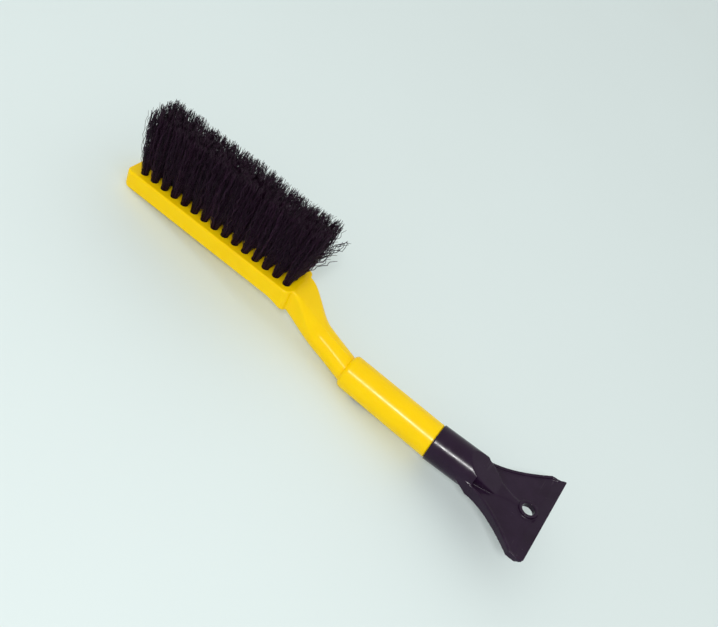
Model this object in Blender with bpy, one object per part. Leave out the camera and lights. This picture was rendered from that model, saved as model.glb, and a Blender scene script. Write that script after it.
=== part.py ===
"""Hand snow brush with an ice scraper pushed onto the end of its grip.

The brush lies with its bristles up.  Shapes are laid out in the brush's own frame: X runs along the
brush from the free end of the head to the cutting edge of the scraper, Y runs across it, and Z points
out of the bristle face, which is at Z = 0.  One empty then carries everything: it tips the brush onto
the end of its head and the start of its grip, as it lies on a table, with the world's origin on the
table under its middle.  Lengths are in metres.
"""

import math

import bmesh
import bpy
from mathutils import Matrix, Vector

# Head block
HEAD_START_X = -0.0015
HEAD_WIDTH = 0.0404
HEAD_THICKNESS = 0.0184
HEAD_END_RADIUS = 0.0055
HEAD_FACE_EDGE_RADIUS = 0.0020
HEAD_BACK_EDGE_RADIUS = 0.0035
HEAD_REAR_X = 0.177
HEAD_REAR_CORNER_RADIUS = 0.0062

# Tufts
TUFT_ROWS = 3
TUFT_COLUMNS = 15
FIRST_COLUMN_X = 0.0115
COLUMN_PITCH = 0.0112
ROW_PITCH = 0.0112
TUFT_HOLE_RADIUS = 0.0036
TUFT_HOLE_DEPTH = 0.0120
TUFT_ROOT_RADIUS = 0.0033
BRISTLE_LENGTH = 0.0630
TIP_COLUMN_PITCH = 0.0117
TIP_ROW_PITCH = 0.0110
FIRST_TIP_X = 0.0122
TIP_LEAN_Y = 0.0012

# Cranked neck
NECK_RADIUS = 0.0120
NECK_WAIST_X = 0.228
NECK_START_X = 0.214
NECK_START_Z = -0.0360
NECK_SLOPE = -0.36
BACK_BEND_START_X = 0.158
FACE_BEND_START_X = 0.176

# Grip
GRIP_END_Z = -0.0502
GRIP_RADIUS = 0.0160
GRIP_START_RADIUS = 0.0156
GRIP_START_X = 0.2455
GRIP_END_X = 0.3404
SHOULDER_RADIUS = 0.0040
GRIP_END_ROUND = 0.0006
GRIP_BORE_RADIUS = 0.0112
GRIP_BORE_START_X = 0.262
SPIGOT_RADIUS = 0.0146
SPIGOT_LENGTH = 0.028

# Scraper, along its own axis from the mouth of its collar
SCRAPER_PITCH = math.radians(2.5)
COLLAR_RADIUS = 0.0169
COLLAR_BORE_RADIUS = 0.0149
COLLAR_BORE_DEPTH = 0.030
COLLAR_LENGTH = 0.0453
COLLAR_UNDERSIDE_LENGTH = 0.058
SLOPE_START_X = 0.0315
SLOPE_ANGLE = math.radians(24.5)
UNDERSIDE_SLOPE_START_X = 0.034
UNDERSIDE_SLOPE_ANGLE = math.radians(20.0)
TONGUE_SIDE = (
    (0.0400, 0.0132),
    (0.0540, 0.0114),
    (0.0620, 0.0093),
    (0.0700, 0.0057),
    (0.0780, 0.0030),
    (0.0870, 0.0018),
)
WEB_TOP_Z = 0.0006
WEB_BOTTOM_Z = -0.0024
KEEL_TOP_Z = 0.0013
BLADE_ROOT_X = 0.031
BLADE_FLARE_X = 0.046
BLADE_CORNER_X = 0.0965
BLADE_EDGE_X = 0.1097
BLADE_ROOT_HALF_WIDTH = 0.0165
BLADE_FLARE_HALF_WIDTH = 0.0183
BLADE_HALF_WIDTH = 0.0485
BLADE_EDGE_HALF_WIDTH = 0.0502
BLADE_FLARE_POWER = 1.5
BLADE_CORNER_RADIUS = 0.0018
RIM_WIDTH = 0.0026
RIM_TOP_Z = 0.0024
RIM_BOTTOM_Z = -0.0105
RIM_BOTTOM_ANGLE = math.radians(6.5)
RIM_BOTTOM_START_X = 0.040
RIM_ROOT_Z = -0.0030
RIM_ROOT_ANGLE = math.radians(-26.0)
LIP_LENGTH = 0.0088
LIP_EDGE_Z = 0.0050
LIP_EDGE_THICKNESS = 0.0007
LIP_UNDERCUT_ANGLE = math.radians(50.0)
LIP_UNDERCUT_START_Z = -0.0034
LIP_UNDERCUT_LENGTH = 0.0055
BOSS_RADIUS = 0.0085
BOSS_TOP_Z = 0.0029
BOSS_BOTTOM_Z = -0.0031
HANG_HOLE_RADIUS = 0.0057
HANG_HOLE_X = 0.0935

GAP = 0.0003
ROUND_SIDES = 48
CORNER_STEPS = 6
TUFT_SIDES = 12
STEEPEST_TILT = math.radians(30.0)
TILT_HALVINGS = 30

YELLOW = (0.90, 0.62, 0.01)
BLACK_PLASTIC = (0.022, 0.016, 0.024)
BRISTLE_BLACK = (0.016, 0.009, 0.012)


def clear_scene():
    for item in list(bpy.data.objects):
        bpy.data.objects.remove(item, do_unlink=True)


def new_collection(name):
    collection = bpy.data.collections.new(name)
    bpy.context.scene.collection.children.link(collection)
    return collection


def plastic(name, colour, roughness):
    material = bpy.data.materials.new(name)
    material.use_nodes = True
    shader = material.node_tree.nodes["Principled BSDF"]
    shader.inputs["Base Color"].default_value = (*colour, 1.0)
    shader.inputs["Roughness"].default_value = roughness
    shader.inputs["Metallic"].default_value = 0.0
    return material


def add_object(name, mesh, collection, material=None):
    item = bpy.data.objects.new(name, mesh)
    collection.objects.link(item)
    if material:
        mesh.materials.append(material)
    return item


def make_cutter(item):
    item.hide_render = True
    item.display_type = "WIRE"


def combine(target, other, operation):
    modifier = target.modifiers.new(f"{operation.lower()} {other.name}", "BOOLEAN")
    modifier.object = other
    modifier.operation = operation
    modifier.solver = "EXACT"
    make_cutter(other)


def cylinder(name, radius, low, high, collection, sides=ROUND_SIDES):
    """A closed cylinder from point low to point high."""
    axis = high - low
    place = Matrix.Translation((low + high) / 2) @ axis.to_track_quat("Z", "Y").to_matrix().to_4x4()
    mesh = bpy.data.meshes.new(name)
    shape = bmesh.new()
    bmesh.ops.create_cone(
        shape,
        cap_ends=True,
        segments=sides,
        radius1=radius,
        radius2=radius,
        depth=axis.length,
        matrix=place,
    )
    shape.to_mesh(mesh)
    shape.free()
    return add_object(name, mesh, collection)


def box(name, size, place, collection):
    mesh = bpy.data.meshes.new(name)
    shape = bmesh.new()
    bmesh.ops.create_cube(shape, size=1.0, matrix=place @ Matrix.Diagonal((*size, 1.0)))
    shape.to_mesh(mesh)
    shape.free()
    return add_object(name, mesh, collection)


def flat_plate(name, outline, low, high, collection):
    """A flat outline in X and Y, filled and thickened from height low to height high."""
    curve = bpy.data.curves.new(name, "CURVE")
    curve.dimensions = "2D"
    curve.fill_mode = "BOTH"
    curve.extrude = (high - low) / 2
    spline = curve.splines.new("POLY")
    spline.points.add(len(outline) - 1)
    for point, (x, y) in zip(spline.points, outline):
        point.co = (x, y, 0.0, 1.0)
    spline.use_cyclic_u = True
    guide = bpy.data.objects.new(name, curve)
    guide.location.z = (low + high) / 2
    collection.objects.link(guide)
    bpy.context.view_layer.update()
    evaluated = guide.evaluated_get(bpy.context.evaluated_depsgraph_get())
    mesh = bpy.data.meshes.new_from_object(evaluated)
    place = guide.matrix_world.copy()
    bpy.data.objects.remove(guide)
    shape = bmesh.new()
    shape.from_mesh(mesh)
    bmesh.ops.remove_doubles(shape, verts=shape.verts, dist=1e-6)
    bmesh.ops.recalc_face_normals(shape, faces=shape.faces)
    shape.to_mesh(mesh)
    shape.free()
    plate = add_object(name, mesh, collection)
    plate.matrix_world = place
    return plate


def loft(name, rings, collection, material):
    """Skins a row of equal-sized rings of points, and closes both ends."""
    mesh = bpy.data.meshes.new(name)
    shape = bmesh.new()
    loops = [[shape.verts.new(point) for point in ring] for ring in rings]
    for first, second in zip(loops, loops[1:]):
        for i in range(len(first)):
            j = (i + 1) % len(first)
            shape.faces.new((first[i], first[j], second[j], second[i]))
    shape.faces.new(list(reversed(loops[0])))
    shape.faces.new(loops[-1])
    bmesh.ops.recalc_face_normals(shape, faces=shape.faces)
    shape.to_mesh(mesh)
    shape.free()
    mesh.shade_smooth()
    mesh.set_sharp_from_angle(angle=math.radians(35))
    return add_object(name, mesh, collection, material)


def rounded_section(half_width, back_z, face_z, back_radius, face_radius):
    """Points (y, z) round a rectangle whose corners are arcs; full radii make it a circle."""
    limit = min(half_width, (face_z - back_z) / 2)
    back_radius = min(back_radius, limit)
    face_radius = min(face_radius, limit)
    corners = (
        (half_width - face_radius, face_z - face_radius, face_radius, 0.0),
        (-half_width + face_radius, face_z - face_radius, face_radius, 90.0),
        (-half_width + back_radius, back_z + back_radius, back_radius, 180.0),
        (half_width - back_radius, back_z + back_radius, back_radius, 270.0),
    )
    points = []
    for centre_y, centre_z, radius, start in corners:
        for step in range(CORNER_STEPS + 1):
            angle = math.radians(start + 90.0 * step / CORNER_STEPS)
            points.append((centre_y + radius * math.cos(angle), centre_z + radius * math.sin(angle)))
    return points


def between(low, high, steps):
    return [low + (high - low) * i / steps for i in range(steps + 1)]


def eased(x, start, end, first, last, last_slope):
    """A cubic from (start, first), leaving it flat, to (end, last), arriving at last_slope."""
    if x <= start:
        return first
    span = end - start
    t = (x - start) / span
    ease = t * t * (3 - 2 * t)
    return first + (last - first) * ease + last_slope * span * (t - 1) * t * t


def inset_at_end(x, radius):
    """How far a rounded end has drawn in at distance x from the end."""
    if x >= radius:
        return 0.0
    x = max(x, radius * 0.01)
    return radius - math.sqrt(radius * radius - (radius - x) ** 2)


def neck_half_width(x):
    """The neck leaves the rounded rear of the head a little wide, and draws in to its waist."""
    rear_half_width = HEAD_WIDTH / 2 - HEAD_REAR_CORNER_RADIUS
    return eased(x, HEAD_REAR_X, NECK_WAIST_X, rear_half_width, NECK_RADIUS, 0.0)


def head_and_bend_rings():
    """The head block, whose end is rounded, and the bend that leads down to the round neck."""
    half = HEAD_WIDTH / 2
    quarter = between(0.0, math.pi / 2, 5)
    end_steps = [HEAD_START_X + HEAD_END_RADIUS * (1 - math.cos(angle)) for angle in quarter]
    rear_steps = [HEAD_REAR_X - HEAD_REAR_CORNER_RADIUS * (1 - math.sin(angle)) for angle in quarter]
    stations = end_steps + [BACK_BEND_START_X, 0.165] + rear_steps + between(0.180, NECK_START_X, 7)
    rings = []
    for x in stations:
        draw = inset_at_end(x - HEAD_START_X, HEAD_END_RADIUS)
        face_draw = inset_at_end(x - HEAD_START_X, HEAD_FACE_EDGE_RADIUS)
        rear_draw = inset_at_end(HEAD_REAR_X - x, HEAD_REAR_CORNER_RADIUS)
        neck_share = eased(x, BACK_BEND_START_X, NECK_START_X, 0.0, 1.0, 0.0)
        width_share = eased(x, FACE_BEND_START_X, NECK_START_X, 0.0, 1.0, 0.0)
        back = eased(x, BACK_BEND_START_X, NECK_START_X, -HEAD_THICKNESS, NECK_START_Z - NECK_RADIUS, NECK_SLOPE)
        face = eased(x, FACE_BEND_START_X, NECK_START_X, 0.0, NECK_START_Z + NECK_RADIUS, NECK_SLOPE)
        section = rounded_section(
            neck_half_width(x) if x > HEAD_REAR_X else half - draw - rear_draw,
            back + draw,
            face - face_draw,
            HEAD_BACK_EDGE_RADIUS + (NECK_RADIUS - HEAD_BACK_EDGE_RADIUS) * neck_share,
            HEAD_FACE_EDGE_RADIUS + (NECK_RADIUS - HEAD_FACE_EDGE_RADIUS) * width_share,
        )
        rings.append([(x, y, z) for y, z in section])
    return rings


def neck_end_z():
    return NECK_START_Z + NECK_SLOPE * (GRIP_START_X - NECK_START_X)


def shoulder_and_grip_rings():
    """The neck's last section swells over a rounded shoulder into the round grip."""
    rings = []
    centre_z = neck_end_z()
    for angle in between(0.0, math.pi / 2, 5):
        share = math.sin(angle)
        x = GRIP_START_X + SHOULDER_RADIUS * (1 - math.cos(angle))
        radius = NECK_RADIUS + (GRIP_START_RADIUS - NECK_RADIUS) * share
        section = rounded_section(radius, centre_z - radius, centre_z + radius, radius, radius)
        rings.append([(x, y, z) for y, z in section])
    for x, radius in ((-GRIP_END_ROUND, GRIP_RADIUS), (0.0, GRIP_RADIUS - GRIP_END_ROUND)):
        rings.append(circle_on_scraper_axis(x, radius))
    return rings


def scraper_frame():
    """The scraper's own axis starts at the grip's end and is pitched up towards the bristle side."""
    return Matrix.Translation((GRIP_END_X, 0.0, GRIP_END_Z)) @ Matrix.Rotation(-SCRAPER_PITCH, 4, "Y")


def circle_on_scraper_axis(x, radius):
    circle = rounded_section(radius, -radius, radius, radius, radius)
    return [scraper_frame() @ Vector((x, y, z)) for y, z in circle]


def spigot_rings():
    return [circle_on_scraper_axis(x, SPIGOT_RADIUS) for x in (0.0, SPIGOT_LENGTH)]


def column_x(column):
    return FIRST_COLUMN_X + COLUMN_PITCH * column


def row_y(row):
    return ROW_PITCH * (row - (TUFT_ROWS - 1) / 2)


def make_tuft_holes(collection):
    """All the blind tuft holes as one cutter."""
    mesh = bpy.data.meshes.new("tuft_holes")
    shape = bmesh.new()
    above = 0.001
    for column in range(TUFT_COLUMNS):
        for row in range(TUFT_ROWS):
            middle = Vector((column_x(column), row_y(row), (above - TUFT_HOLE_DEPTH) / 2))
            bmesh.ops.create_cone(
                shape,
                cap_ends=True,
                segments=TUFT_SIDES,
                radius1=TUFT_HOLE_RADIUS,
                radius2=TUFT_HOLE_RADIUS,
                depth=TUFT_HOLE_DEPTH + above,
                matrix=Matrix.Translation(middle),
            )
    shape.to_mesh(mesh)
    shape.free()
    return add_object("tuft_holes", mesh, collection)


def make_handle(parts, cutters, material):
    """One moulding: head block, cranked neck, grip and the spigot that carries the scraper."""
    rings = head_and_bend_rings() + shoulder_and_grip_rings() + spigot_rings()
    handle = loft("brush_handle", rings, parts, material)
    combine(handle, make_tuft_holes(cutters), "DIFFERENCE")
    bore = cylinder(
        "grip_bore",
        GRIP_BORE_RADIUS,
        scraper_frame() @ Vector((GRIP_BORE_START_X - GRIP_END_X, 0.0, 0.0)),
        scraper_frame() @ Vector((SPIGOT_LENGTH * 2, 0.0, 0.0)),
        cutters,
        sides=24,
    )
    combine(handle, bore, "DIFFERENCE")
    return handle


def make_tuft(row, column, parts, material):
    """A tuft as the volume its bristles fill: round in its hole, spreading to its share of the tips."""
    root_x, root_y = column_x(column), row_y(row)
    tip_x = FIRST_TIP_X + TIP_COLUMN_PITCH * column
    tip_y = TIP_ROW_PITCH * (row - (TUFT_ROWS - 1) / 2) + TIP_LEAN_Y
    half_x = (TIP_COLUMN_PITCH - GAP) / 2
    half_y = (TIP_ROW_PITCH - GAP) / 2
    turn = [2 * math.pi * (i + 0.5) / TUFT_SIDES for i in range(TUFT_SIDES)]

    def circle(z):
        return [
            (root_x + TUFT_ROOT_RADIUS * math.cos(a), root_y + TUFT_ROOT_RADIUS * math.sin(a), z)
            for a in turn
        ]

    def cell(a):
        reach = 1.0 / max(abs(math.cos(a)), abs(math.sin(a)))
        return (tip_x + half_x * reach * math.cos(a), tip_y + half_y * reach * math.sin(a), BRISTLE_LENGTH)

    rings = [circle(GAP - TUFT_HOLE_DEPTH), circle(0.0), [cell(a) for a in turn]]
    return loft(f"tuft_r{row + 1}_c{column + 1:02d}", rings, parts, material)


def blade_side(inset=0.0):
    """The +Y side of the blade from its root to the corner, drawn in by inset."""
    points = [(BLADE_ROOT_X, BLADE_ROOT_HALF_WIDTH - inset)]
    spread = BLADE_HALF_WIDTH - BLADE_FLARE_HALF_WIDTH
    span = BLADE_CORNER_X - BLADE_FLARE_X
    for share in between(0.0, 1.0, 10):
        slope = spread / span * BLADE_FLARE_POWER * share ** (BLADE_FLARE_POWER - 1)
        length = math.hypot(1.0, slope)
        x = BLADE_FLARE_X + span * share + inset * slope / length
        y = BLADE_FLARE_HALF_WIDTH + spread * share**BLADE_FLARE_POWER - inset / length
        points.append((x, y))
    return points


def mirrored(side):
    return side + [(x, -y) for x, y in reversed(side)]


def rounded_corner():
    """The blade's corner at the end of its cutting edge, drawn as an arc from the side to the edge."""
    centre_x = BLADE_EDGE_X - BLADE_CORNER_RADIUS
    centre_y = BLADE_EDGE_HALF_WIDTH - BLADE_CORNER_RADIUS
    turns = between(math.pi / 2, 0.0, 4)
    return [
        (centre_x + BLADE_CORNER_RADIUS * math.cos(a), centre_y + BLADE_CORNER_RADIUS * math.sin(a))
        for a in turns
    ]


def make_blade(cutters):
    """The flat web with a rim along both flared sides."""
    outer = blade_side() + [(BLADE_EDGE_X, BLADE_EDGE_HALF_WIDTH)]
    blade = flat_plate("blade", mirrored(outer), RIM_BOTTOM_Z, RIM_TOP_Z, cutters)
    side = [point for point in blade_side(RIM_WIDTH) if point[1] < BLADE_HALF_WIDTH - RIM_WIDTH]
    inner_half_width = BLADE_HALF_WIDTH - RIM_WIDTH
    inner = side + [(BLADE_CORNER_X, inner_half_width), (BLADE_EDGE_X * 1.1, BLADE_EDGE_HALF_WIDTH)]
    upper = flat_plate("pocket_above_web", mirrored(inner), WEB_TOP_Z, 0.02, cutters)
    lower = flat_plate("pocket_below_web", mirrored(inner), -0.02, WEB_BOTTOM_Z, cutters)
    combine(blade, upper, "DIFFERENCE")
    combine(blade, lower, "DIFFERENCE")
    rim_start = (RIM_BOTTOM_START_X, RIM_BOTTOM_Z)
    root_start = (BLADE_ROOT_X, RIM_ROOT_Z)
    lip_start = (BLADE_EDGE_X - LIP_UNDERCUT_LENGTH, LIP_UNDERCUT_START_Z)
    combine(blade, slope_cutter("rim_bottom", -1, rim_start, RIM_BOTTOM_ANGLE, cutters), "DIFFERENCE")
    combine(blade, slope_cutter("rim_root", -1, root_start, RIM_ROOT_ANGLE, cutters), "DIFFERENCE")
    combine(blade, slope_cutter("lip_undercut", -1, lip_start, LIP_UNDERCUT_ANGLE, cutters), "DIFFERENCE")
    return blade


def make_lip(cutters):
    """The cutting lip: the web thins to an edge that is lifted towards the bristle side."""
    start = BLADE_EDGE_X - LIP_LENGTH - GAP
    profile = (
        (start, WEB_BOTTOM_Z),
        (start + GAP, WEB_BOTTOM_Z),
        (BLADE_EDGE_X, LIP_EDGE_Z - LIP_EDGE_THICKNESS),
        (BLADE_EDGE_X, LIP_EDGE_Z),
        (start + GAP, WEB_TOP_Z),
        (start, WEB_TOP_Z),
    )
    rings = [[(x, y, z) for x, z in profile] for y in (-BLADE_EDGE_HALF_WIDTH, BLADE_EDGE_HALF_WIDTH)]
    return loft("cutting_lip", rings, cutters, None)


def make_outline_trim(cutters):
    """The whole scraper's outline from above; its intersection rounds the corners of the lip."""
    collar = [(-GAP, COLLAR_RADIUS * 1.1), (BLADE_ROOT_X, COLLAR_RADIUS * 1.1)]
    side = [(x, y + GAP) for x, y in blade_side()[1:-1]]
    corner = [(BLADE_CORNER_X, BLADE_HALF_WIDTH)] + rounded_corner()
    return flat_plate("outline_trim", mirrored(collar + side + corner), -0.03, 0.03, cutters)


def slope_cutter(name, side, start, angle, cutters):
    """What lies beyond a plane that slopes towards the axis; side is 1 above the axis, -1 below it."""
    size = 0.2
    edge = Matrix.Translation((start[0], 0.0, start[1]))
    turn = Matrix.Rotation(side * angle, 4, "Y")
    lift = Matrix.Translation((size / 2 - 0.05, 0.0, side * size / 2))
    return box(name, (size, size, size), edge @ turn @ lift, cutters)


def make_tongue(cutters):
    """The leaf-shaped wedge on top that runs from the collar towards the hang hole."""
    tongue = flat_plate("tongue", mirrored(list(TONGUE_SIDE)), -COLLAR_RADIUS, COLLAR_RADIUS, cutters)
    axis_points = (Vector((0.0, 0.0, 0.0)), Vector((BLADE_EDGE_X, 0.0, 0.0)))
    combine(tongue, cylinder("tongue_round", COLLAR_RADIUS, *axis_points, cutters), "INTERSECT")
    return tongue


def make_underside(cutters):
    """The collar's lower half, which runs on under the web."""
    low = Vector((COLLAR_LENGTH / 2, 0.0, 0.0))
    high = Vector((COLLAR_UNDERSIDE_LENGTH, 0.0, 0.0))
    underside = cylinder("underside", COLLAR_RADIUS, low, high, cutters)
    top = Matrix.Translation((COLLAR_UNDERSIDE_LENGTH, 0.0, 0.1 + WEB_TOP_Z - GAP))
    combine(underside, box("underside_top", (0.2, 0.2, 0.2), top, cutters), "DIFFERENCE")
    return underside


def make_scraper(parts, cutters, material):
    """Collar, sloping tongue, rimmed blade, lifted cutting lip and a bossed hole to hang it by."""
    collar_points = (Vector((GAP, 0.0, 0.0)), Vector((COLLAR_LENGTH, 0.0, 0.0)))
    scraper = cylinder("ice_scraper", COLLAR_RADIUS, *collar_points, parts)
    scraper.data.materials.append(material)
    combine(scraper, make_tongue(cutters), "UNION")
    combine(scraper, make_underside(cutters), "UNION")
    above_start = (SLOPE_START_X, COLLAR_RADIUS)
    below_start = (UNDERSIDE_SLOPE_START_X, -COLLAR_RADIUS)
    above = slope_cutter("slope_above", 1, above_start, SLOPE_ANGLE, cutters)
    below = slope_cutter("slope_below", -1, below_start, UNDERSIDE_SLOPE_ANGLE, cutters)
    combine(scraper, above, "DIFFERENCE")
    combine(scraper, below, "DIFFERENCE")
    combine(scraper, make_blade(cutters), "UNION")
    combine(scraper, make_lip(cutters), "UNION")
    keel = [point for point in TONGUE_SIDE if point[0] > COLLAR_LENGTH]
    combine(scraper, flat_plate("keel", mirrored(keel), WEB_BOTTOM_Z + GAP, KEEL_TOP_Z, cutters), "UNION")
    hole_centre = Vector((HANG_HOLE_X, 0.0, 0.0))
    up = Vector((0.0, 0.0, 1.0))
    boss = cylinder("boss", BOSS_RADIUS, hole_centre + up * BOSS_BOTTOM_Z, hole_centre + up * BOSS_TOP_Z, cutters)
    combine(scraper, boss, "UNION")
    hole = cylinder("hang_hole", HANG_HOLE_RADIUS, hole_centre - up * 0.03, hole_centre + up * 0.03, cutters)
    combine(scraper, hole, "DIFFERENCE")
    combine(scraper, make_outline_trim(cutters), "INTERSECT")
    bore = cylinder(
        "collar_bore",
        COLLAR_BORE_RADIUS,
        Vector((-0.01, 0.0, 0.0)),
        Vector((COLLAR_BORE_DEPTH, 0.0, 0.0)),
        cutters,
    )
    combine(scraper, bore, "DIFFERENCE")
    for item in [scraper] + list(cutters.objects):
        if item.name not in {"tuft_holes", "grip_bore"}:
            item.matrix_world = scraper_frame() @ item.matrix_world
    return scraper


def resting_tilt(corners):
    """The turn about Y that lays the head's end and the grip on one level, as the brush lies."""
    head = [corner for corner in corners if corner.x < BACK_BEND_START_X]
    rear = [corner for corner in corners if corner.x > NECK_START_X]
    level, steep = 0.0, STEEPEST_TILT
    for _ in range(TILT_HALVINGS):
        tilt = (level + steep) / 2
        turn = Matrix.Rotation(-tilt, 3, "Y")
        if min((turn @ corner).z for corner in head) > min((turn @ corner).z for corner in rear):
            level = tilt
        else:
            steep = tilt
    return level


def lay_down(parts, cutters):
    """Parents everything to an empty, turned and moved to lie with the origin under its middle."""
    bpy.context.view_layer.update()
    graph = bpy.context.evaluated_depsgraph_get()
    corners = []
    for item in parts.objects:
        shape = item.evaluated_get(graph)
        corners += [shape.matrix_world @ vertex.co for vertex in shape.data.vertices]
    turn = Matrix.Rotation(-resting_tilt(corners), 4, "Y")
    turned = [turn @ corner for corner in corners]
    low = Vector([min(corner[i] for corner in turned) for i in range(3)])
    high = Vector([max(corner[i] for corner in turned) for i in range(3)])
    base = bpy.data.objects.new("snow_brush_base", None)
    bpy.context.scene.collection.objects.link(base)
    for item in list(parts.objects) + list(cutters.objects):
        item.parent = base
    base.matrix_world = Matrix.Translation((-(low.x + high.x) / 2, -(low.y + high.y) / 2, -low.z)) @ turn


def main():
    clear_scene()
    parts = new_collection("snow_brush_scraper")
    cutters = new_collection("cutters")
    yellow = plastic("yellow_plastic", YELLOW, 0.32)
    black = plastic("black_plastic", BLACK_PLASTIC, 0.38)
    bristle = plastic("bristle", BRISTLE_BLACK, 0.55)
    make_handle(parts, cutters, yellow)
    make_scraper(parts, cutters, black)
    for column in range(TUFT_COLUMNS):
        for row in range(TUFT_ROWS):
            make_tuft(row, column, parts, bristle)
    lay_down(parts, cutters)


main()
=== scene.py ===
"""Looks of the snow brush scraper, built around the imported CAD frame. Lengths are in metres."""

import math

import bmesh
import bpy
import numpy as np
from mathutils import Matrix, Vector


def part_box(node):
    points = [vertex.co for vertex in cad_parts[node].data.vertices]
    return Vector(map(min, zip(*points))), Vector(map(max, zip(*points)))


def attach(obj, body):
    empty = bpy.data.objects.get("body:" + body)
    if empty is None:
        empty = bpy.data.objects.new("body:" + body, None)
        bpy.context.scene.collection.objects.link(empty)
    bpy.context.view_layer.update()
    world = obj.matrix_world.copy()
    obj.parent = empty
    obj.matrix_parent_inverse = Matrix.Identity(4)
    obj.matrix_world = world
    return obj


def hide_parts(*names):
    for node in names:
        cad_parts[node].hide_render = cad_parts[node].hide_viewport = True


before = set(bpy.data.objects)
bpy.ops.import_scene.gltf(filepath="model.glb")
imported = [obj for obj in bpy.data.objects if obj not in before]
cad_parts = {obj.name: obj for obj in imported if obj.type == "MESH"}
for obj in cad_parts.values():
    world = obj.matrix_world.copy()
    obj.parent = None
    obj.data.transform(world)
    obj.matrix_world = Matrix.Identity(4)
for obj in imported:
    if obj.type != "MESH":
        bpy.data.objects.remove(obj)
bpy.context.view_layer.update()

# Handle, in the brush's own frame: X along it from the head, Z out of the bristle face
HEAD_START_X = -0.0015
HEAD_WIDTH = 0.0404
HEAD_THICKNESS = 0.0184
HEAD_END_RADIUS = 0.0055
HEAD_FACE_EDGE_RADIUS = 0.0020
HEAD_BACK_EDGE_RADIUS = 0.0035
HEAD_REAR_X = 0.177
HEAD_REAR_CORNER_RADIUS = 0.0062
NECK_RADIUS = 0.0120
NECK_WAIST_X = 0.228
NECK_START_X = 0.214
NECK_START_Z = -0.0360
NECK_SLOPE = -0.36
BACK_BEND_START_X = 0.158
FACE_BEND_START_X = 0.176
GRIP_END_Z = -0.0502
GRIP_RADIUS = 0.0160
GRIP_START_RADIUS = 0.0156
GRIP_START_X = 0.2455
GRIP_END_X = 0.3404
SHOULDER_RADIUS = 0.0040
GRIP_END_ROUND = 0.0006
GRIP_BORE_RADIUS = 0.0112
GRIP_BORE_START_X = 0.262
SPIGOT_RADIUS = 0.0146
SPIGOT_LENGTH = 0.028
RIDGE_HEIGHT = 0.0006
RIDGE_SPREAD = 0.0006
RIDGE_START_X = 0.206
RIDGE_END_X = 0.2435
RIDGE_START_ANGLE = 104.0
RIDGE_END_ANGLE = 88.0

# Rings of the handle's loft between its rounded ends, as first place, last place and steps
HEAD_RINGS = (0.008, BACK_BEND_START_X, 6)
HEAD_REAR_RINGS = (0.160, 0.170, 5)
BEND_RINGS = (0.178, NECK_START_X, 30)
NECK_RINGS = (NECK_START_X + 0.0010, GRIP_START_X - 0.0004, 28)
HANDLE_SHARP_ANGLE = 32.0
FLAT_FACE_WEIGHT = 80

# Tufts: round in their holes, square at their tips
TUFT_ROWS = 3
TUFT_COLUMNS = 15
FIRST_COLUMN_X = 0.0115
COLUMN_PITCH = 0.0112
ROW_PITCH = 0.0112
TUFT_HOLE_RADIUS = 0.0036
TUFT_HOLE_DEPTH = 0.0120
TUFT_HOLE_SIDES = 20
TUFT_ROOT_RADIUS = 0.0031
BRISTLE_LENGTH = 0.0630
TIP_COLUMN_PITCH = 0.0117
TIP_ROW_PITCH = 0.0110
FIRST_TIP_X = 0.0122
TIP_LEAN_Y = 0.0012
END_SPLAY = 0.0024

# Scraper, along its own axis from the mouth of its collar
SCRAPER_PITCH = math.radians(2.5)
COLLAR_RADIUS = 0.0169
COLLAR_BORE_RADIUS = 0.0149
COLLAR_BORE_DEPTH = 0.030
COLLAR_LENGTH = 0.0453
COLLAR_UNDERSIDE_LENGTH = 0.058
SLOPE_START_X = 0.0315
SLOPE_ANGLE = math.radians(24.5)
UNDERSIDE_SLOPE_START_X = 0.034
UNDERSIDE_SLOPE_ANGLE = math.radians(20.0)
TONGUE_SIDE = (
    (0.0400, 0.0132),
    (0.0540, 0.0114),
    (0.0620, 0.0093),
    (0.0700, 0.0057),
    (0.0780, 0.0030),
    (0.0870, 0.0018),
)
WEB_TOP_Z = 0.0006
WEB_BOTTOM_Z = -0.0024
KEEL_TOP_Z = 0.0013
BLADE_ROOT_X = 0.031
BLADE_FLARE_X = 0.046
BLADE_CORNER_X = 0.0965
BLADE_EDGE_X = 0.1097
BLADE_ROOT_HALF_WIDTH = 0.0165
BLADE_FLARE_HALF_WIDTH = 0.0183
BLADE_HALF_WIDTH = 0.0485
BLADE_EDGE_HALF_WIDTH = 0.0502
BLADE_FLARE_POWER = 1.5
BLADE_CORNER_RADIUS = 0.0018
RIM_WIDTH = 0.0026
RIM_TOP_Z = 0.0024
RIM_BOTTOM_Z = -0.0105
RIM_BOTTOM_ANGLE = math.radians(6.5)
RIM_BOTTOM_START_X = 0.040
RIM_ROOT_Z = -0.0030
RIM_ROOT_ANGLE = math.radians(-26.0)
LIP_LENGTH = 0.0088
LIP_EDGE_Z = 0.0050
LIP_EDGE_THICKNESS = 0.0007
LIP_UNDERCUT_ANGLE = math.radians(50.0)
LIP_UNDERCUT_START_Z = -0.0034
LIP_UNDERCUT_LENGTH = 0.0055
BOSS_RADIUS = 0.0085
BOSS_TOP_Z = 0.0029
BOSS_BOTTOM_Z = -0.0031
HANG_HOLE_RADIUS = 0.0057
HANG_HOLE_X = 0.0935
SCRAPER_VOXEL = 0.00056
RELAX_FACTOR = 0.5
RELAX_STEPS = 3

# Clearance between pieces, fineness of the shapes, and how far cutters reach past what they cut
GAP = 0.0003
CORNER_STEPS = 32
CURVE_STEPS = 12
BLADE_SIDE_STEPS = 28
ROUND_SIDES = 96
CUTTER_SIZE = 0.2
CUTTER_LEAD = 0.05
CUT_DEPTH = 0.03
CUT_MARGIN = 1.1

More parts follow.
